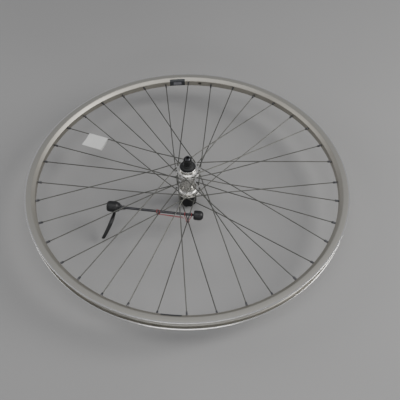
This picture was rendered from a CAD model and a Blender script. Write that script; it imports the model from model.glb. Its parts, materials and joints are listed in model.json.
"""Looks for the bicycle rear wheel: pieces, materials, floor, light and camera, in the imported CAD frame."""
import json
import math

import bmesh
import bpy
from mathutils import Matrix, Vector


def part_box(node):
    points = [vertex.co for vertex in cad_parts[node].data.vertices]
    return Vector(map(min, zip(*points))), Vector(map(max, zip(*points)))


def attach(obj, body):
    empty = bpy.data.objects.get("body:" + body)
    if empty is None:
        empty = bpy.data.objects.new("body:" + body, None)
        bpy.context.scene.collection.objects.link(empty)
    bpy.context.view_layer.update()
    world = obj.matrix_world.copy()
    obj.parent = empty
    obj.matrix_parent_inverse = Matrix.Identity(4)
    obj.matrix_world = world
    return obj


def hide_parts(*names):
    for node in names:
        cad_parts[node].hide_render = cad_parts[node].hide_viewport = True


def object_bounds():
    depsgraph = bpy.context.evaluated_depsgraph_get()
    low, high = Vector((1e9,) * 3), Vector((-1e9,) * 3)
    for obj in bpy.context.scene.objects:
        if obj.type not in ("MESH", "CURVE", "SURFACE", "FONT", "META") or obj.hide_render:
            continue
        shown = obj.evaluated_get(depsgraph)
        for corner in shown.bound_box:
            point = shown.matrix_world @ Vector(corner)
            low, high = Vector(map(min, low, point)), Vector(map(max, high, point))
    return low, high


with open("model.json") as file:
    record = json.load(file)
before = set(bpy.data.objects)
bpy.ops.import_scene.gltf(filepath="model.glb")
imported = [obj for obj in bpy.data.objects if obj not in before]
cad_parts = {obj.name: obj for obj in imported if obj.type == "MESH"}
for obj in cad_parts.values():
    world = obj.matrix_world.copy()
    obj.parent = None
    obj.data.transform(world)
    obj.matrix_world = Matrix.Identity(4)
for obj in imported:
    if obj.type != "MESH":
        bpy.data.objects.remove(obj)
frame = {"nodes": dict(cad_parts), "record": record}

MM = 0.001
SCENE = bpy.context.scene
CAD_BOX = [list(corner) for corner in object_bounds()]
NODE_SLOT = {part["node"]: part["material_slot"] for part in frame["record"]["subparts"]}


# ---- Camera, floor and light ----

FOCAL = 53.1
SENSOR = 36.0
CAMERA_AT = Vector((0.0760, -0.7597, 0.8940))
CAMERA_RIGHT = Vector((0.99681, 0.07924, 0.00969))
CAMERA_DOWN = Vector((0.06788, -0.77750, -0.62521))


def make_camera():
    right = CAMERA_RIGHT.normalized()
    down = (CAMERA_DOWN - right * CAMERA_DOWN.dot(right)).normalized()
    look = right.cross(down)
    data = bpy.data.cameras.new("camera")
    data.lens = FOCAL
    data.sensor_width = SENSOR
    data.clip_end = 50
    camera = bpy.data.objects.new("camera", data)
    SCENE.collection.objects.link(camera)
    turn = Matrix((right, -down, -look)).transposed().to_4x4()
    camera.matrix_world = Matrix.Translation(CAMERA_AT) @ turn
    SCENE.camera = camera


def area_light(name, at, target, size, power, colour=(1, 1, 1)):
    data = bpy.data.lights.new(name, "AREA")
    data.shape = "RECTANGLE"
    data.size, data.size_y = size
    data.energy = power
    data.color = colour
    lamp = bpy.data.objects.new(name, data)
    lamp.location = at
    lamp.rotation_mode = "QUATERNION"
    lamp.rotation_quaternion = (Vector(target) - Vector(at)).to_track_quat("-Z", "Y")
    SCENE.collection.objects.link(lamp)


def make_light():
    area_light("light_left", (-1.8, -0.1, 1.2), (0, 0, -0.05), (0.9, 1.2), 7, (1, 0.985, 0.96))
    area_light("light_right", (1.8, 0.0, 1.2), (0, 0, -0.05), (0.9, 1.2), 33, (1, 0.99, 0.97))
    area_light("light_top", (0.1, -0.7, 2.6), (0, 0, 0), (1.8, 1.2), 17)
    area_light("light_front", (0.2, -2.0, 0.85), (0, -0.3, 0), (1.8, 0.3), 6)
    world = bpy.data.worlds.new("world")
    world.use_nodes = True
    sky = world.node_tree.nodes["Background"]
    sky.inputs["Color"].default_value = (0.93, 0.95, 1.0, 1)
    sky.inputs["Strength"].default_value = 0.4
    SCENE.world = world


def make_floor():
    mesh = bpy.data.meshes.new("floor")
    bm = bmesh.new()
    bmesh.ops.create_grid(bm, x_segments=1, y_segments=1, size=12)
    bm.to_mesh(mesh)
    bm.free()
    floor = bpy.data.objects.new("floor", mesh)
    floor.location.z = CAD_BOX[0][2] - 0.0002
    SCENE.collection.objects.link(floor)
    mesh.materials.append(FLOOR)


# ---- Materials ----


class Paint:
    """A Principled material whose colour, roughness and bump come from procedural nodes."""

    def __init__(self, name, metallic=0.0, **sockets):
        self.material = bpy.data.materials.new(name)
        self.material.use_nodes = True
        self.tree = self.material.node_tree
        self.shader = self.tree.nodes["Principled BSDF"]
        self.shader.inputs["Metallic"].default_value = metallic
        for label, value in sockets.items():
            self.shader.inputs[label.replace("_", " ")].default_value = value
        self.coords = self.node("ShaderNodeTexCoord").outputs["Object"]

    def node(self, kind, **values):
        made = self.tree.nodes.new(kind)
        for key, value in values.items():
            if hasattr(made, key):
                setattr(made, key, value)
            else:
                made.inputs[key.replace("_", " ")].default_value = value
        return made

    def wire(self, source, target):
        self.tree.links.new(source, target)

    def scaled(self, scale):
        mapping = self.node("ShaderNodeMapping")
        mapping.inputs["Scale"].default_value = scale
        self.wire(self.coords, mapping.inputs["Vector"])
        return mapping.outputs["Vector"]

    def noise(self, scale, detail=3.0, rough=0.55, stretch=(1, 1, 1), vector=None):
        made = self.node("ShaderNodeTexNoise", Scale=scale, Detail=detail, Roughness=rough)
        self.wire(vector or self.scaled(stretch), made.inputs["Vector"])
        return made.outputs["Fac"]

    def ramp(self, value, *stops):
        made = self.node("ShaderNodeValToRGB")
        bar = made.color_ramp
        while len(bar.elements) < len(stops):
            bar.elements.new(0.5)
        for element, (place, colour) in zip(bar.elements, stops):
            element.position = place
            element.color = (*colour, 1) if len(colour) == 3 else colour
        self.wire(value, made.inputs["Fac"])
        return made.outputs["Color"]

    def span(self, value, low, high):
        made = self.node("ShaderNodeMapRange", To_Min=low, To_Max=high)
        self.wire(value, made.inputs["Value"])
        return made.outputs["Result"]

    def math(self, operation, a, b=None, clamp=False):
        made = self.node("ShaderNodeMath", operation=operation, use_clamp=clamp)
        for socket, value in zip(made.inputs, (a, b)):
            if value is None:
                continue
            if isinstance(value, (int, float)):
                socket.default_value = value
            else:
                self.wire(value, socket)
        return made.outputs["Value"]

    def radial(self):
        """Distance from the hub axis, and height, as two values."""
        split = self.node("ShaderNodeSeparateXYZ")
        self.wire(self.coords, split.inputs["Vector"])
        x, y, z = (split.outputs[axis] for axis in "XYZ")
        squares = self.math("ADD", self.math("MULTIPLY", x, x), self.math("MULTIPLY", y, y))
        return self.math("SQRT", squares), z

    def rings(self, scale, detail=4.0):
        """Noise that varies with radius and height only, as turned and drawn metal does."""
        radius, height = self.radial()
        joined = self.node("ShaderNodeCombineXYZ")
        self.wire(radius, joined.inputs["X"])
        self.wire(height, joined.inputs["Z"])
        return self.noise(scale, detail, vector=joined.outputs["Vector"])

    def mix(self, factor, a, b, blend="MIX"):
        made = self.node("ShaderNodeMix", data_type="RGBA", blend_type=blend)
        if isinstance(factor, (int, float)):
            made.inputs[0].default_value = factor
        else:
            self.wire(factor, made.inputs[0])
        for socket, value in ((made.inputs[6], a), (made.inputs[7], b)):
            if isinstance(value, tuple):
                socket.default_value = (*value, 1)
            else:
                self.wire(value, socket)
        return made.outputs[2]

    def colour(self, source):
        self.wire(source, self.shader.inputs["Base Color"])
        return self

    def roughness(self, source):
        self.wire(source, self.shader.inputs["Roughness"])
        return self

    def bump(self, height, strength, distance):
        made = self.node("ShaderNodeBump", Strength=strength, Distance=distance)
        self.wire(height, made.inputs["Height"])
        self.wire(made.outputs["Normal"], self.shader.inputs["Normal"])
        return self


def metal(name, dark, light, rough, grain=900.0, depth=0.00002, turned=False, metallic=1.0):
    paint = Paint(name, metallic)
    cloud = paint.noise(60, 4)
    fine = paint.rings(grain) if turned else paint.noise(grain, 5)
    tone = paint.mix(0.35, cloud, fine)
    paint.colour(paint.ramp(tone, (0.3, dark), (0.7, light)))
    paint.roughness(paint.span(fine, rough[0], rough[1]))
    return paint.bump(fine, 0.3, depth).material


def anodised_rim():
    paint = Paint("rim_alloy", 1.0)
    cloud = paint.noise(14, 4)
    rings = paint.rings(5200, 5)
    radius, _ = paint.radial()
    track = paint.math("GREATER_THAN", radius, (RIM_R - 12) * MM)
    body = paint.ramp(cloud, (0.3, (0.40, 0.38, 0.335)), (0.7, (0.47, 0.45, 0.40)))
    worn = paint.ramp(rings, (0.25, (0.42, 0.405, 0.365)), (0.75, (0.52, 0.505, 0.46)))
    edge = paint.math("GREATER_THAN", radius, (RIM_R - 2.4) * MM)
    bright = paint.ramp(rings, (0.25, (0.74, 0.73, 0.71)), (0.75, (0.84, 0.83, 0.81)))
    paint.colour(paint.mix(edge, paint.mix(track, body, worn), bright))
    polish = paint.math("MULTIPLY", edge, 0.24)
    paint.roughness(paint.math("SUBTRACT", paint.span(rings, 0.38, 0.52), polish))
    return paint.bump(rings, 0.3, 0.00002).material


def rubber(name, dark, light, rough=(0.5, 0.7), grain=700.0):
    paint = Paint(name)
    speck = paint.noise(grain, 5)
    cloud = paint.noise(45, 4)
    paint.colour(paint.ramp(paint.mix(0.5, speck, cloud), (0.3, dark), (0.7, light)))
    paint.roughness(paint.span(cloud, rough[0], rough[1]))
    return paint.bump(speck, 0.4, 0.00005).material


def gloss_black(name, rough=(0.4, 0.55)):
    paint = Paint(name, 0.0, Coat_Weight=0.12, Coat_Roughness=0.3)
    speck = paint.noise(1100, 4)
    wear = paint.noise(70, 6, 0.7)
    paint.colour(paint.ramp(wear, (0.35, (0.004, 0.004, 0.0045)), (0.72, (0.009, 0.009, 0.010))))
    paint.roughness(paint.span(wear, rough[0], rough[1]))
    return paint.bump(speck, 0.25, 0.00003).material


def paper():
    paint = Paint("paper")
    fibre = paint.noise(900, 6, 0.7, (1, 0.35, 1))
    stain = paint.noise(30, 4)
    paint.colour(paint.ramp(stain, (0.3, (0.62, 0.62, 0.60)), (0.7, (0.74, 0.74, 0.72))))
    paint.roughness(paint.span(fibre, 0.7, 0.9))
    return paint.bump(fibre, 0.4, 0.00006).material


def label(name, dark, light):
    paint = Paint(name)
    speck = paint.noise(800, 4)
    paint.colour(paint.ramp(speck, (0.3, dark), (0.7, light)))
    paint.roughness(paint.span(speck, 0.3, 0.45))
    return paint.bump(speck, 0.2, 0.00002).material


def floor_paint():
    paint = Paint("floor_paint")
    speck = paint.noise(260, 5)
    cloud = paint.noise(1.2, 2)
    paint.colour(paint.ramp(cloud, (0.3, (0.285, 0.282, 0.278)), (0.7, (0.31, 0.307, 0.304))))
    paint.roughness(paint.span(speck, 0.75, 0.9))
    return paint.bump(speck, 0.1, 0.0002).material


# ---- Mesh helpers ----


def add_piece(name, bm, material, body, replaced, smooth=35, turn=True):
    """Turns a bmesh into an object that rides on a body and stands for CAD nodes."""
    if turn:
        bmesh.ops.recalc_face_normals(bm, faces=bm.faces)
    mesh = bpy.data.meshes.new(name)
    bm.to_mesh(mesh)
    bm.free()
    piece = bpy.data.objects.new(name, mesh)
    SCENE.collection.objects.link(piece)
    for entry in material if isinstance(material, (list, tuple)) else [material]:
        mesh.materials.append(entry)
    mesh.shade_smooth()
    mesh.set_sharp_from_angle(angle=math.radians(smooth))
    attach(piece, body)
    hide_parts(*replaced)
    return piece


def skin(bm, rings, closed=False):
    """Joins rings of points, each with the same count, into a tube of faces with its ends shut."""
    rows = [[bm.verts.new(point) for point in ring] for ring in rings]
    count = len(rows[0])
    pairs = list(zip(rows, rows[1:]))
    if closed:
        pairs.append((rows[-1], rows[0]))
    for low, high in pairs:
        for k in range(count):
            bm.faces.new((low[k], low[(k + 1) % count], high[(k + 1) % count], high[k]))
    if not closed:
        bm.faces.new(rows[0])
        bm.faces.new(rows[-1])


def fillet(profile, radius, steps=4, closed=True):
    """Rounds the corners of an outline; radius may be one number or one for each corner."""
    count = len(profile)
    radii = radius if isinstance(radius, (list, tuple)) else [radius] * count
    out = []
    for k, corner in enumerate(profile):
        if not closed and k in (0, count - 1):
            out.append(tuple(corner))
            continue
        here = Vector(corner)
        before = Vector(profile[k - 1]) - here
        after = Vector(profile[(k + 1) % count]) - here
        if radii[k] <= 0 or before.length < 1e-9 or after.length < 1e-9:
            out.append(tuple(corner))
            continue
        half = before.angle(after) / 2
        if half > math.radians(88) or half < math.radians(2):
            out.append(tuple(corner))
            continue
        cut = min(radii[k] / math.tan(half), before.length * 0.48, after.length * 0.48)
        first = here + before.normalized() * cut
        last = here + after.normalized() * cut
        for s in range(steps + 1):
            t = s / steps
            point = first * (1 - t) ** 2 + here * 2 * t * (1 - t) + last * t ** 2
            out.append(tuple(point))
    return out


def lathe(bm, profile, segments=96):
    """Turns a closed outline of (r, z) points in millimetres about +Z."""
    rings = []
    for k in range(segments):
        a = math.radians(360.0 * k / segments)
        rings.append([(r * MM * math.cos(a), r * MM * math.sin(a), z * MM) for r, z in profile])
    skin(bm, rings, closed=True)


def solid_lathe(bm, profile, segments=96):
    """Turns an open outline whose two ends lie on the axis, and caps it with fans."""
    rows = []
    for r, z in profile:
        if r < 1e-6:
            rows.append([bm.verts.new((0, 0, z * MM))])
            continue
        angles = [2 * math.pi * k / segments for k in range(segments)]
        rows.append([bm.verts.new((r * MM * math.cos(a), r * MM * math.sin(a), z * MM)) for a in angles])
    for low, high in zip(rows, rows[1:]):
        for k in range(segments):
            n = (k + 1) % segments
            if len(low) == 1:
                corners = (low[0], high[n], high[k])
            elif len(high) == 1:
                corners = (low[k], low[n], high[0])
            else:
                corners = (low[k], low[n], high[n], high[k])
            bm.faces.new(corners)


def frames_along(path):
    """Parallel-transport frames along a path of points."""
    points = [Vector(p) for p in path]
    tangents = []
    for k in range(len(points)):
        a = points[max(k - 1, 0)]
        b = points[min(k + 1, len(points) - 1)]
        tangents.append((b - a).normalized())
    seed = Vector((0, 0, 1)) if abs(tangents[0].z) < 0.9 else Vector((1, 0, 0))
    side = tangents[0].cross(seed).normalized()
    out = []
    for k, tangent in enumerate(tangents):
        if k:
            turn = tangents[k - 1].rotation_difference(tangent)
            side = turn @ side
        side = (side - tangent * side.dot(tangent)).normalized()
        out.append((points[k], side, tangent.cross(side).normalized()))
    return out


def tube(bm, path, radius, sides=12, closed=False):
    """Sweeps a round section along a path."""
    rings = []
    for point, side, up in frames_along(path):
        ring = []
        for q in range(sides):
            a = 2 * math.pi * q / sides
            ring.append(point + side * (radius * math.cos(a)) + up * (radius * math.sin(a)))
        rings.append(ring)
    skin(bm, rings, closed=closed)


def spline(a, b, c, d, t):
    """The Catmull-Rom value a share t of the way from b to c, with neighbours a and d."""
    square = 2 * a - 5 * b + 4 * c - d
    cube = 3 * b - a - 3 * c + d
    return 0.5 * (2 * b + (c - a) * t + square * t * t + cube * t ** 3)


def curve(rows, per=8):
    """A smooth curve through rows of numbers, with per steps between two rows."""
    out = []
    for k in range(len(rows) - 1):
        here, after = rows[k], rows[k + 1]
        before = rows[k - 1] if k else [2 * a - b for a, b in zip(here, after)]
        far = rows[k + 2] if k + 2 < len(rows) else [2 * b - a for a, b in zip(here, after)]
        for s in range(per):
            t = s / per
            out.append(tuple(spline(*values, t) for values in zip(before, here, after, far)))
    out.append(tuple(rows[-1]))
    return out


def smooth_path(points, per=8):
    return [Vector(row) for row in curve(points, per)]


def cut_out(piece, cutter_bm):
    """Takes the shape of a bmesh away from a piece, and keeps the result as its mesh."""
    mesh = bpy.data.meshes.new("cutter")
    bmesh.ops.recalc_face_normals(cutter_bm, faces=cutter_bm.faces)
    cutter_bm.to_mesh(mesh)
    cutter_bm.free()
    cutter = bpy.data.objects.new("cutter", mesh)
    SCENE.collection.objects.link(cutter)
    modifier = piece.modifiers.new("cut", "BOOLEAN")
    modifier.operation = "DIFFERENCE"
    modifier.solver = "EXACT"
    modifier.object = cutter
    bpy.context.view_layer.update()
    graph = bpy.context.evaluated_depsgraph_get()
    result = bpy.data.meshes.new_from_object(piece.evaluated_get(graph))
    piece.modifiers.clear()
    old = piece.data
    result.name = old.name
    piece.data = result
    bpy.data.objects.remove(cutter)
    bpy.data.meshes.remove(mesh)
    bpy.data.meshes.remove(old)
    result.shade_smooth()
    result.set_sharp_from_angle(angle=math.radians(35))


def aim(point, direction):
    """A matrix that takes +Z along direction and the origin to point (millimetres)."""
    way = Vector(direction).normalized()
    tip = Matrix.Rotation(math.acos(way.z), 4, "Y")
    return Matrix.Translation(Vector(point) * MM) @ Matrix.Rotation(math.atan2(way.y, way.x), 4, "Z") @ tip


def place(bm, matrix, first=0):
    verts = list(bm.verts)[first:]
    bmesh.ops.transform(bm, matrix=matrix, verts=verts)


# ---- Sizes, in millimetres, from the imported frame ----


def node_size(node, corner, axis):
    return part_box(node)[corner][axis] / MM


RIM_R = node_size("rim", 1, 0)
RIM_HALF = node_size("rim", 1, 2)
WELL_R = 307.0
TRACK_R = RIM_R - 12
BED_R = 298.0
BED_HALF = 6.0
WALL_R = BED_R + 1.6
SLOPE_IN = (BED_R + 0.6, BED_HALF + 0.5)
SLOPE_OUT = (TRACK_R - 1.4, RIM_HALF - 1.1)
FACE = node_size("locknut_left", 1, 2)
AXLE_END = node_size("axle", 1, 2)
AXLE_R = node_size("axle", 1, 0)
NUT_R = node_size("spacer_left", 1, 0)
SPOKES = 36
STEP = 360 / SPOKES
FIRST_ANGLE = 95
HOLE_R = 22.5
FLANGE_L = 35.0
FLANGE_R = -21.0
FLANGE_EDGE = node_size("hub_shell", 1, 0)
FLANGE_HALF = 1.5
BARREL_R = 13.2
NIP_Z = 2.0
CROSS_AT = 71.9
CROSS_Z = 1.05
ELBOW_OFF = 3.1
SPOKE_R = 1.0
CAM_AT = Vector((-139.1, -68.1, -9.6))
ROD_TIP = math.radians(91.27)
ROD_TURN = math.radians(-1.63)
LEVER_ROLL = math.radians(-42)
ROD_R = 2.5
ROD_L = 171.0
HEAD_R = 10.7
HEAD_END = 12.3
NUT_AT = 157.3
NUT_L = 18.5
NUT_HALF = 9.5


def both_sides(profile):
    return profile + [(r, -z) for r, z in reversed(profile)]


# ---- Rim, labels, spokes and nipples ----


def polar(radius, angle, z):
    a = math.radians(angle)
    return Vector((radius * math.cos(a), radius * math.sin(a), z))


class Spoke:
    """The line of one spoke: hole in the flange, elbow, third crossing, and seat in the rim."""

    def __init__(self, number):
        self.side = 1 if number % 2 == 0 else -1
        self.lead = -1 if number % 4 < 2 else 1
        self.hole_angle = FIRST_ANGLE + STEP * (number - self.lead * 6)
        self.flange = FLANGE_L if self.side > 0 else FLANGE_R
        self.seat = polar(WALL_R, FIRST_ANGLE + STEP * number, NIP_Z * self.side)
        hole = self.at_hole(0)
        run = self.seat - hole
        self.cross = hole + run * (CROSS_AT / run.to_2d().length)
        self.cross.z -= self.side * self.lead * CROSS_Z
        self.out = (self.seat - self.cross).normalized()

    def at_hole(self, off):
        return polar(HOLE_R, self.hole_angle, self.flange + self.side * off)


def rim_profile():
    half = [
        (WELL_R, RIM_HALF - 8), (307.6, RIM_HALF - 6.2), (309.8, RIM_HALF - 2.6), (311, RIM_HALF - 2.1),
        (RIM_R - 3.2, RIM_HALF - 2.1), (RIM_R - 2, RIM_HALF - 2.7), (RIM_R - 1.2, RIM_HALF - 2.7),
        (RIM_R, RIM_HALF - 1.6), (RIM_R, RIM_HALF), (TRACK_R, RIM_HALF - 0.4), SLOPE_OUT, SLOPE_IN,
        (BED_R, BED_HALF - 0.3)]
    radii = [3, 1.6, 1.6, 0.8, 0.6, 0.6, 0.6, 0.5, 0.5, 0.8, 1.2, 0.9, 0.6]
    return fillet(both_sides(half), radii + radii[::-1], 3)


def chamber_profile():
    half = [
        (WELL_R - 1.6, RIM_HALF - 7.4), (WELL_R - 1, RIM_HALF - 6), (TRACK_R + 0.4, RIM_HALF - 2.6),
        (TRACK_R - 0.4, RIM_HALF - 2.7), (WALL_R, BED_HALF - 0.9)]
    return both_sides(half)


def cylinder(bm, start, end, radius, sides=24):
    """A closed cylinder between two points in millimetres, for cutting."""
    first = len(bm.verts)
    length = (Vector(end) - Vector(start)).length
    bmesh.ops.create_cone(
        bm, cap_ends=True, segments=sides, radius1=radius * MM, radius2=radius * MM, depth=length * MM)
    bm.verts.ensure_lookup_table()
    middle = (Vector(start) + Vector(end)) / 2
    place(bm, aim(middle, Vector(end) - Vector(start)), first)


def make_rim():
    bm = bmesh.new()
    lathe(bm, rim_profile(), 288)
    bmesh.ops.recalc_face_normals(bm, faces=bm.faces)
    outer = list(bm.faces)
    lathe(bm, chamber_profile(), 288)
    inner = [face for face in bm.faces if face not in set(outer)]
    bmesh.ops.recalc_face_normals(bm, faces=inner)
    bmesh.ops.reverse_faces(bm, faces=inner)
    rim = add_piece("rim_looks", bm, RIM_ALLOY, "wheel", ["rim"], turn=False)
    holes = bmesh.new()
    for spoke in SPOKE_LINES:
        cylinder(holes, spoke.seat - spoke.out * 4, spoke.seat + spoke.out * 3, 2.15)
        cylinder(holes, spoke.seat + spoke.out * 4.4, spoke.seat + spoke.out * 13.4, 4.3, 32)
    cylinder(holes, (0, BED_R - 6, 0), (0, BED_R + 14, 0), 3.3, 32)
    cut_out(rim, holes)


LABEL_GAP = 0.05
LABEL_T = 0.25


def label_line(gap, climb):
    """Section of a label at a distance from the rim: over the bed, then up the slanted wall."""
    slope = Vector(SLOPE_OUT) - Vector(SLOPE_IN)
    slope.normalize()
    outward = Vector((-slope.y, slope.x))
    start = Vector(SLOPE_IN) + outward * gap
    bed = [(BED_R - gap, z) for z in (-5.4, -4.5, -4.2, -3.4, 0, 3.4, 4.2, 5)]
    bend = [(BED_R - gap, BED_HALF - 0.3 + gap * 0.4), tuple(start)]
    wall = [tuple(start + slope * climb * k / 3) for k in (1, 2, 3)]
    return bed + bend + wall


def make_label(name, node, start, span, panel):
    """A thin label stuck round the rim; panel gives the stretch of bed that is pale."""
    bm = bmesh.new()
    near = label_line(LABEL_GAP, 4.6)
    far = label_line(LABEL_GAP + LABEL_T, 4.6)
    outline = near + far[::-1]
    turns = 44
    rings = []
    for k in range(turns + 1):
        rings.append([polar(r * MM, start + span * k / turns, z * MM) for r, z in outline])
    skin(bm, rings)
    for face in bm.faces:
        middle = face.calc_center_median() / MM
        share = (math.degrees(math.atan2(middle.y, middle.x)) % 360 - start) / span
        if panel[0] < share < panel[1] and panel[2] < middle.z < panel[3]:
            face.material_index = 1
    add_piece(name, bm, [BLACK_LABEL, PALE_LABEL], "wheel", [node])


def spoke_path(spoke):
    elbow = spoke.at_hole(spoke.lead * ELBOW_OFF)
    into = (spoke.cross - elbow).normalized()
    start = spoke.at_hole(spoke.lead * (ELBOW_OFF - 2.4))
    bend = []
    for k in range(7):
        t = k / 6
        bend.append(start * (1 - t) ** 2 + elbow * 2 * t * (1 - t) + (elbow + into * 2.4) * t ** 2)
    turn = []
    for k in range(5):
        t = k / 4
        before = spoke.cross - into * 4
        after = spoke.cross + spoke.out * 4
        turn.append(before * (1 - t) ** 2 + spoke.cross * 2 * t * (1 - t) + after * t ** 2)
    return [spoke.at_hole(-spoke.lead * 1.6), *bend, *turn, spoke.seat + spoke.out * 1.0]


def spoke_head(bm, spoke):
    """The flat-topped button on the other side of the flange."""
    first = len(bm.verts)
    rounded = [(0, 0), (1.7, 0), (1.9, 0.18), (1.88, 0.4), (1.6, 0.66), (1.1, 0.8), (0, 0.82)]
    solid_lathe(bm, rounded, 20)
    bm.verts.ensure_lookup_table()
    base = spoke.at_hole(-spoke.lead * 1.54)
    place(bm, aim(base, spoke.at_hole(-spoke.lead * 2) - base), first)


def make_spokes(name, first):
    bm = bmesh.new()
    for number in range(first, SPOKES, 4):
        spoke = SPOKE_LINES[number]
        tube(bm, [point * MM for point in spoke_path(spoke)], SPOKE_R * MM, 12)
        spoke_head(bm, spoke)
    add_piece(name + "_looks", bm, SPOKE_STEEL, "wheel", [name])


def squircle(half, power, sides):
    """Points round a section between a square (high power) and a circle (power 2)."""
    out = []
    for k in range(sides):
        a = 2 * math.pi * k / sides
        c, s = math.cos(a), math.sin(a)
        r = half / (abs(c) ** power + abs(s) ** power) ** (1 / power)
        out.append((r * c, r * s))
    return out


def make_nipples():
    """Square wrench end, round shank, and the head hidden in the rim."""
    sections = [
        (-9.1, 1.15, 2.0), (-9.45, 1.25, 2.2), (-9.6, 1.4, 3), (-9.5, 1.56, 7), (-9.2, 1.62, 9),
        (-6.2, 1.62, 9), (-5.6, 1.72, 5), (-5.1, 1.94, 2.2), (-4.8, 2, 2), (0.3, 2, 2), (0.5, 3.1, 2),
        (2.2, 3.1, 2), (2.4, 2.8, 2)]
    bm = bmesh.new()
    for spoke in SPOKE_LINES:
        first = len(bm.verts)
        rings = []
        for z, half, power in sections:
            rings.append([(x * MM, y * MM, z * MM) for x, y in squircle(half, power, 24)])
        skin(bm, rings)
        bm.verts.ensure_lookup_table()
        place(bm, aim(spoke.seat, spoke.out), first)
    add_piece("nipples_looks", bm, NIPPLE_METAL, "wheel", ["nipples"])


# ---- Hub ----


def flare(start, end, steps=8):
    """A quarter curve that leaves start along the axis and reaches end square to it."""
    wide, tall = end[0] - start[0], end[1] - start[1]
    turns = [math.pi / 2 * k / steps for k in range(steps + 1)]
    return [(end[0] - wide * math.cos(t), start[1] + tall * math.sin(t)) for t in turns]


def flange_edge(z):
    low, high = z - FLANGE_HALF, z + FLANGE_HALF
    corners = [(19, low), (FLANGE_EDGE, low), (FLANGE_EDGE, high), (19, high)]
    return fillet(corners, 0.7, 4, closed=False)[1:-1]


def shell_profile():
    foot = 20
    left_corners = [(foot - 1, 36.5), (foot, 36.5), (17.2, 37.6), (16.7, 43.4), (16.1, 44), (15, 44)]
    left_side = fillet(left_corners, 0.5, 3, closed=False)
    outside = [(15.8, -24.8), (15.8, -22.5), *flange_edge(FLANGE_R)]
    outside += flare((BARREL_R, FLANGE_R + 15), (foot, FLANGE_R + FLANGE_HALF))[::-1]
    outside += flare((BARREL_R, FLANGE_L - 12), (foot, FLANGE_L - FLANGE_HALF))
    outside += flange_edge(FLANGE_L) + left_side[1:-1]
    inside = [
        (14, 44), (14, 34), (11.2, 34), (11.2, -10), (8.06, -10), (8.06, -20.9), (13.5, -20.9),
        (13.5, -24.8)]
    return outside + inside


def make_hub_shell():
    bm = bmesh.new()
    lathe(bm, shell_profile(), 180)
    shell = add_piece("hub_shell_looks", bm, POLISHED_ALLOY, "wheel", ["hub_shell"])
    holes = bmesh.new()
    for spoke in SPOKE_LINES:
        cylinder(holes, spoke.at_hole(-3), spoke.at_hole(3), SPOKE_R + 0.2, 20)
    cut_out(shell, holes)


def make_boot():
    outline = [
        (8.62, 46.6), (12.6, 45), (13.7, 44.95), (14, 45.3), (14, 46.2), (13.4, 46.9), (12.4, 46.9),
        (12.1, 47.25), (11.2, 47.5), (10.1, 48.9), (9.5, 50.9), (9, 51.6), (8.62, 51.6)]
    bm = bmesh.new()
    lathe(bm, fillet(outline, 0.35, 3), 144)
    add_piece("boot_looks", bm, BLACK_RUBBER, "axle_set", ["boot_left"])


def make_spacer():
    inner = AXLE_R + 0.02
    groove = NUT_R - 0.35
    outline = [
        (inner, 52), (NUT_R - 0.3, 52), (NUT_R, 52.3), (NUT_R, 54.2), (groove, 54.45), (groove, 54.9),
        (NUT_R, 55.15), (NUT_R, 60.2), (NUT_R - 0.4, 60.6), (inner, 60.6)]
    bm = bmesh.new()
    lathe(bm, fillet(outline, 0.15, 2), 144)
    add_piece("spacer_left_looks", bm, BLACK_STEEL, "axle_set", ["spacer_left"])


def make_locknut(name, low, high, material):
    """A round nut with two spanner flats and a serrated outer face."""
    inner = AXLE_R + 0.02
    flat = 7.5
    outer_face = high if high > 0 else low
    into = -1 if high > 0 else 1
    segments = 192
    heights = [(NUT_R - 0.4, low), (NUT_R, low + 0.35), (NUT_R, high - 0.35), (NUT_R - 0.4, high)]
    rings = []
    for k in range(segments):
        a = math.radians(360 * k / segments)
        reach = flat / max(abs(math.cos(a)), 1e-6)
        ring = [(inner, high), (inner, low)]
        ring += [(min(r, reach), z) for r, z in heights]
        tooth = 0.14 * (k % 4 > 1)
        ring.insert(6, (min(7.2, reach - 0.1), outer_face + into * tooth if outer_face == high else high))
        ring.insert(2, (min(7.2, reach - 0.1), low + tooth if outer_face == low else low))
        rings.append([(r * MM * math.cos(a), r * MM * math.sin(a), z * MM) for r, z in ring])
    bm = bmesh.new()
    skin(bm, rings, closed=True)
    add_piece(name + "_looks", bm, material, "axle_set", [name], smooth=25)


def thread_radius(radius, depth, pitch, angle, z):
    phase = (z / pitch - angle / (2 * math.pi)) % 1
    return radius - depth * abs(2 * phase - 1)


def thread_rings(stations, pitch, depth, segments=64):
    """Rings up a rod; each station is (radius, z, threaded), and the thread is a true helix."""
    rings = []
    for radius, z, threaded in stations:
        ring = []
        for k in range(segments):
            a = 2 * math.pi * k / segments
            r = thread_radius(radius, depth, pitch, a, z) if threaded else radius
            ring.append((r * MM * math.cos(a), r * MM * math.sin(a), z * MM))
        rings.append(ring)
    return rings


def make_axle():
    """Hollow axle, with its thread cut on the ends that stand out of the locknuts."""
    pitch = 1.0
    end = AXLE_END
    bore = 2.8
    stretch = int((end - 0.7 - FACE) / 0.125)
    upper = [(AXLE_R - 0.02, FACE - 1, False)]
    upper += [(AXLE_R, FACE + 0.125 * k, True) for k in range(stretch + 1)]
    upper += [(AXLE_R - 0.62, end, False), (bore + 0.4, end, False), (bore, end - 0.4, False)]
    stations = [(r, -z, t) for r, z, t in reversed(upper)] + upper
    bm = bmesh.new()
    skin(bm, thread_rings(stations, pitch, 0.5), closed=True)
    add_piece("axle_looks", bm, DARK_STEEL, "axle_set", ["axle"], smooth=50)


# ---- Quick-release skewer ----


ROD_FRAME = (Matrix.Translation(CAM_AT * MM) @ Matrix.Rotation(ROD_TURN, 4, "Z")
             @ Matrix.Rotation(ROD_TIP, 4, "Y"))
CAM_FRAME = ROD_FRAME @ Matrix.Rotation(LEVER_ROLL, 4, "Z")
ALONG_CAM = Matrix.Rotation(math.radians(-90), 4, "X")


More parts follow.
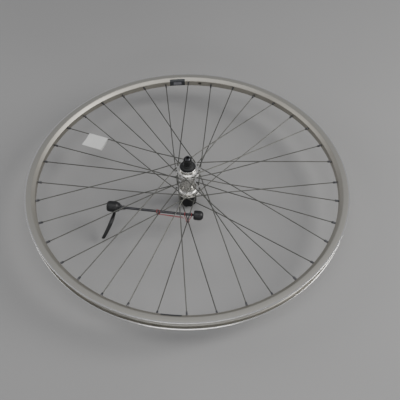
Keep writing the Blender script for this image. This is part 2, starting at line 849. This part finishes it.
def cam_disc(bm, low, high, outer, inner=0.0, edge=0.3, segments=64, shift=0.0):
    """A disc or ring about the cam axis with eased edges."""
    first = len(bm.verts)
    if inner:
        lathe(bm, fillet([(inner, low), (outer, low), (outer, high), (inner, high)], edge, 3), segments)
    else:
        corners = [(outer * 0.5, low), (outer, low), (outer, high), (outer * 0.5, high)]
        solid_lathe(bm, [(0, low), *fillet(corners, edge, 3, closed=False), (0, high)], segments)
    bm.verts.ensure_lookup_table()
    place(bm, Matrix.Translation((0, 0, shift * MM)) @ ALONG_CAM, first)


def make_rod():
    pitch = 0.8
    bm = bmesh.new()
    cam_disc(bm, -3, 3, 8, 5.3, 0.5)
    stations = [(ROD_R, 7.2, False), (ROD_R, 60, False), (ROD_R, 137.8, False)]
    count = int((ROD_L - 0.7 - 138) / (pitch / 6))
    stations += [(ROD_R, 138 + k * pitch / 6, True) for k in range(count + 1)]
    stations += [(ROD_R - 0.5, ROD_L, False)]
    skin(bm, thread_rings(stations, pitch, 0.3, 32))
    place(bm, CAM_FRAME)
    add_piece("skewer_rod_looks", bm, DARK_STEEL, "wheel", ["skewer_rod"], smooth=50)


def make_head():
    outline = fillet([
        (5, -HEAD_END), (6, -HEAD_END), (8.6, -11.4), (10.2, -9), (HEAD_R, -6.5), (HEAD_R, 5.5), (10.1, 7.5),
        (9, 9.2), (8.6, 10), (8.6, HEAD_END), (4, HEAD_END)], 0.7, 4, closed=False)
    bm = bmesh.new()
    solid_lathe(bm, [(0, -HEAD_END), *outline, (0, HEAD_END)], 128)
    place(bm, CAM_FRAME)
    head = add_piece("cam_head_looks", bm, BLACK_ANODISED, "wheel", ["cam_head"])
    hole = bmesh.new()
    cylinder(hole, (0, -9.2, 0), (0, 12, 0), 5.05, 64)
    cylinder(hole, (0, 0, 0), (0, 0, 14), ROD_R + 0.15, 32)
    place(hole, CAM_FRAME)
    cut_out(head, hole)
    slot = bmesh.new()
    bmesh.ops.create_cube(slot, size=1)
    place(slot, Matrix.Translation((0, 0, 0.2 * MM)) @ Matrix.Diagonal((0.0168, 0.0066, 0.0184, 1)))
    bmesh.ops.bevel(slot, geom=list(slot.edges), offset=0.0012, segments=3, affect="EDGES")
    place(slot, CAM_FRAME)
    cut_out(head, slot)


def between(table, x):
    """The value at x on a line of (x, value) points."""
    for (x0, v0), (x1, v1) in zip(table, table[1:]):
        if x <= x1:
            return v0 + (v1 - v0) * max(0.0, (x - x0) / (x1 - x0))
    return table[-1][1]


# The lever's blade: its middle line, its thickness and its two edges, each against the distance along it
BLADE_MIDDLE = [
    (0, 0), (10, 0.2), (18, -0.2), (28, -2), (38, -4.8), (48, -8.4), (57, -12), (63, -14.6), (66, -16)]
BLADE_THICK = [(0, 6), (10, 4.8), (18, 6), (28, 7.4), (38, 7.6), (48, 7.4), (57, 7), (63, 6.6), (66, 6)]
BLADE_LOW = [(0, 11.2), (17, 11.2), (23, 2), (32, -4.6), (46, -6.4), (58, -6), (64.6, -4.2), (66, -1)]
BLADE_HIGH = [(0, 15.4), (14, 15.4), (22, 14.4), (32, 11), (46, 8.6), (58, 7), (64.6, 4.6), (66, 1.5)]


def make_lever():
    bm = bmesh.new()
    places = [3, 9, 14, 18, 21, 24, 28, 33, 38, 43, 48, 53, 58, 62, 64.6, 65.7, 66]
    swell = [0.8] + [1] * 13 + [0.97, 0.84, 0.6]
    rows = []
    for x, grow in zip(places, swell):
        low, high = between(BLADE_LOW, x), between(BLADE_HIGH, x)
        rows.append((x, (low + high) / 2, (high - low) / 2 * grow, between(BLADE_MIDDLE, x),
                     between(BLADE_THICK, x) / 2 * grow))
    rings = []
    for x, across, half_wide, along, half_thick in curve(rows, 3):
        ring = []
        for y, z in squircle(1, 2.8, 40):
            crown = 0.12 * (1 - y * y) * half_thick
            ring.append((x * MM, (across + y * half_wide) * MM, (along + z * half_thick + crown) * MM))
        rings.append(ring)
    skin(bm, rings)
    cam_disc(bm, 11.2, 15.4, 6.6, edge=0.9)
    cam_disc(bm, 3.3, 15.2, 5, edge=0.3)
    cam_disc(bm, -8.8, -3.2, 5, edge=0.5)
    cam_disc(bm, -3.4, 3.4, 3.9, edge=0.2, shift=-1)
    place(bm, CAM_FRAME)
    add_piece("lever_looks", bm, BLACK_ANODISED, "lever_arm", ["lever"])


def make_spring():
    turns, steep = 4.5, 0.12
    points = []
    count = 220
    for k in range(count + 1):
        u = k / count
        rise = 0.4 * u if u < steep else (1 - 0.4 * (1 - u) if u > 1 - steep else
                                          0.4 * steep + (u - steep) * (1 - 0.8 * steep) / (1 - 2 * steep))
        r = 6.1 + (3.6 - 6.1) * u
        a = 2 * math.pi * turns * u
        points.append(Vector((r * math.cos(a), r * math.sin(a), 12.95 + (24.3 - 12.95) * rise)) * MM)
    bm = bmesh.new()
    tube(bm, points, 0.5 * MM, 12)
    place(bm, ROD_FRAME)
    add_piece("head_spring_looks", bm, SPRING_STEEL, "wheel", ["head_spring"])


def make_nut():
    outline = fillet([
        (6, 0), (8.3, 0), (8.7, 0.4), (8.7, 1.6), (NUT_HALF, 2.9), (NUT_HALF, 11), (9, 13.6), (7.7, 16),
        (5.9, 17.6), (4.2, NUT_L), (3, NUT_L)], 0.6, 4, closed=False)
    bm = bmesh.new()
    solid_lathe(bm, [(0, 0), *outline, (0, NUT_L)], 128)
    place(bm, ROD_FRAME @ Matrix.Translation((0, 0, NUT_AT * MM)))
    nut = add_piece("adjusting_nut_looks", bm, BLACK_ANODISED, "nut", ["adjusting_nut"])
    hole = bmesh.new()
    cylinder(hole, (0, 0, NUT_AT - 1), (0, 0, NUT_AT + NUT_L - 2.3), ROD_R + 0.35, 48)
    place(hole, ROD_FRAME)
    cut_out(nut, hole)
    groove = bmesh.new()
    cylinder(groove, (0, 0, NUT_AT + 2), (0, 0, NUT_AT + 7), 4.55, 48)
    place(groove, ROD_FRAME)
    cut_out(nut, groove)


# ---- Rubber band and paper tag ----


def winding(bm, middle, radius, half_wide, half_thick):
    """One flat turn of the band round the rod, centred at a distance along it."""
    first = len(bm.verts)
    corners = [(radius - half_thick, middle - half_wide), (radius + half_thick, middle - half_wide),
               (radius + half_thick, middle + half_wide), (radius - half_thick, middle + half_wide)]
    lathe(bm, fillet(corners, 0.5, 4), 48)
    bm.verts.ensure_lookup_table()
    place(bm, ROD_FRAME, first)


def long_turn(bm, at, drop, slant, radius, thick):
    """A turn that goes over the rod and under the two spokes that cross below it."""
    path = []
    for k in range(24):
        a = math.radians(15 * k + 7.5)
        low = drop if a > math.pi else 0
        path.append(Vector((radius * math.cos(a), 0, radius * math.sin(a) - low)) * MM)
    first = len(bm.verts)
    tube(bm, path, thick * MM, 12, closed=True)
    bm.verts.ensure_lookup_table()
    turn = Matrix.Rotation(math.radians(90 + slant), 4, "Z")
    place(bm, Matrix.Translation(Vector(at) * MM) @ turn, first)


def make_band():
    middle = ROD_R + 0.85
    bm = bmesh.new()
    for along in (85.6, 139.8, 153):
        winding(bm, along, middle, 0.8, 0.7)
    long_turn(bm, (-49.2, -70.6, -11.6), 4.4, 22, middle + 0.3, 0.5)
    hook = [
        (0.9, -77.2, -13.2), (2.8, -80.8, -14.1), (4.7, -84.6, -15), (4.8, -86, -17.9), (7.4, -86.3, -19.4),
        (10.1, -86, -17.4), (9.9, -84.4, -14.8), (11.8, -80.8, -14.1), (13.6, -77.4, -13.5)]
    tube(bm, smooth_path([Vector(p) * MM for p in hook], 6), 0.7 * MM, 12)
    for path in (
            [(-51, -76.4, -12.4), (-26, -78.75, -13.2), (0, -81, -14)],
            [(-45.2, -76.6, -12.6), (-24, -77.65, -13), (-2.6, -78.6, -13.4)]):
        tube(bm, smooth_path([Vector(p) * MM for p in path], 6), 0.55 * MM, 10)
    add_piece("band_looks", bm, RED_RUBBER, "wheel", ["band"])


def make_tag():
    """A sheet folded over one spoke, its two flaps curling a little apart."""
    thick = 0.15
    upper = [(-0.1, 1.5), (6, 1.45), (12, 1.35), (17, 1.65), (22, 2.2), (27, 3.1), (31, 4.1)]
    lower = [(29, -0.45), (25, -0.9), (20, -1.4), (12, -1.75), (6, -1.65), (-0.1, -1.5)]
    fold = [(1.5 * math.cos(math.radians(a)), 1.5 * math.sin(math.radians(a))) for a in range(245, 100, -18)]
    line = curve(lower + fold + upper, 3)
    columns = 24
    rings = []
    for k in range(columns + 1):
        across = 2 * k / columns - 1
        middle = []
        for x, y in line:
            reach = max(0.0, x) / 30
            curl = (0.55 * across * across - 0.35 * across) * reach ** 2 * (1 if y > 0 else -0.5)
            middle.append(Vector((x, y + curl)))
        front, back = [], []
        for n, point in enumerate(middle):
            along = (middle[min(n + 1, len(middle) - 1)] - middle[max(n - 1, 0)]).normalized()
            out = Vector((-along.y, along.x)) * thick
            front.append(point + out)
            back.append(point - out)
        rings.append([(p.x * MM, p.y * MM, 23 * across * MM) for p in front + back[::-1]])
    bm = bmesh.new()
    skin(bm, rings)
    spoke = SPOKE_LINES[6]
    place(bm, aim(spoke.cross + spoke.out * 137, spoke.out) @ Matrix.Rotation(math.radians(78), 4, "Z"))
    add_piece("paper_tag_looks", bm, PAPER, "wheel", ["paper_tag"], smooth=50)


# ---- Everything, in order ----

FLOOR = floor_paint()
RIM_ALLOY = anodised_rim()
BLACK_LABEL = label("black_label", (0.018, 0.020, 0.023), (0.032, 0.035, 0.04))
PALE_LABEL = label("pale_label", (0.12, 0.12, 0.135), (0.19, 0.19, 0.21))
SPOKE_STEEL = metal("spoke_steel", (0.11, 0.11, 0.10), (0.18, 0.18, 0.165), (0.34, 0.5), 700, 0.00001)
NIPPLE_METAL = metal("nipple_metal", (0.10, 0.10, 0.105), (0.17, 0.17, 0.175), (0.32, 0.5), 900)
POLISHED_ALLOY = metal(
    "polished_alloy", (0.66, 0.645, 0.61), (0.72, 0.705, 0.67), (0.24, 0.3), 1500, 0.000002, turned=True)
RACE_STEEL = metal("race_steel", (0.42, 0.42, 0.43), (0.55, 0.55, 0.56), (0.18, 0.32), 2200, turned=True)
BALL_STEEL = metal("ball_steel", (0.66, 0.67, 0.69), (0.74, 0.75, 0.77), (0.05, 0.12), 900)
DARK_STEEL = metal("dark_steel", (0.055, 0.055, 0.06), (0.10, 0.10, 0.105), (0.32, 0.46), 1200)
BLACK_STEEL = metal(
    "black_steel", (0.004, 0.004, 0.0045), (0.010, 0.010, 0.011), (0.48, 0.62), 1800, 0.000004, turned=True,
    metallic=0.2)
SPRING_STEEL = metal("spring_steel", (0.05, 0.05, 0.055), (0.10, 0.10, 0.105), (0.28, 0.4), 1400)
BLACK_ANODISED = gloss_black("black_anodised")
BLACK_RUBBER = rubber("black_rubber", (0.006, 0.006, 0.006), (0.013, 0.013, 0.0135))
RED_RUBBER = rubber("red_rubber", (0.20, 0.026, 0.030), (0.29, 0.045, 0.050), (0.5, 0.65))
NYLON = rubber("nylon", (0.62, 0.62, 0.60), (0.72, 0.72, 0.70), (0.4, 0.55))
PAPER = paper()
SLOT_PAINT = {
    "race_steel": RACE_STEEL, "ball_steel": BALL_STEEL, "dark_steel": DARK_STEEL, "black_steel": BLACK_STEEL,
    "black_rubber": BLACK_RUBBER, "spring_steel": SPRING_STEEL, "nylon": NYLON, "spoke_steel": SPOKE_STEEL,
    "rim_alloy": RIM_ALLOY, "nipple_metal": NIPPLE_METAL, "polished_alloy": POLISHED_ALLOY,
    "black_anodised": BLACK_ANODISED, "red_rubber": RED_RUBBER, "paper": PAPER, "black_label": BLACK_LABEL}
SPOKE_LINES = [Spoke(number) for number in range(SPOKES)]


def paint_frame():
    """Every CAD node gets the paint of its slot, the replaced ones too."""
    for node, thing in frame["nodes"].items():
        for entry in thing.material_slots:
            entry.material = SLOT_PAINT[NODE_SLOT[node]]


make_camera()
make_light()
make_floor()
make_rim()
make_label("sticker_valve_looks", "sticker_valve", 96.6, 6.6, (0.22, 0.76, -3, 4))
make_label("sticker_joint_looks", "sticker_joint", 266.6, 6.8, (0.2, 0.8, -4.3, 3.3))
for set_name, first_spoke in (
        ("spokes_left_in", 0), ("spokes_right_in", 1), ("spokes_left_out", 2), ("spokes_right_out", 3)):
    make_spokes(set_name, first_spoke)
make_nipples()
make_hub_shell()
make_boot()
make_spacer()
make_locknut("locknut_left", node_size("locknut_left", 0, 2), FACE, BLACK_STEEL)
make_locknut("locknut_right", -FACE, node_size("locknut_right", 1, 2), DARK_STEEL)
make_axle()
make_rod()
make_head()
make_lever()
make_spring()
make_nut()
make_band()
make_tag()
paint_frame()
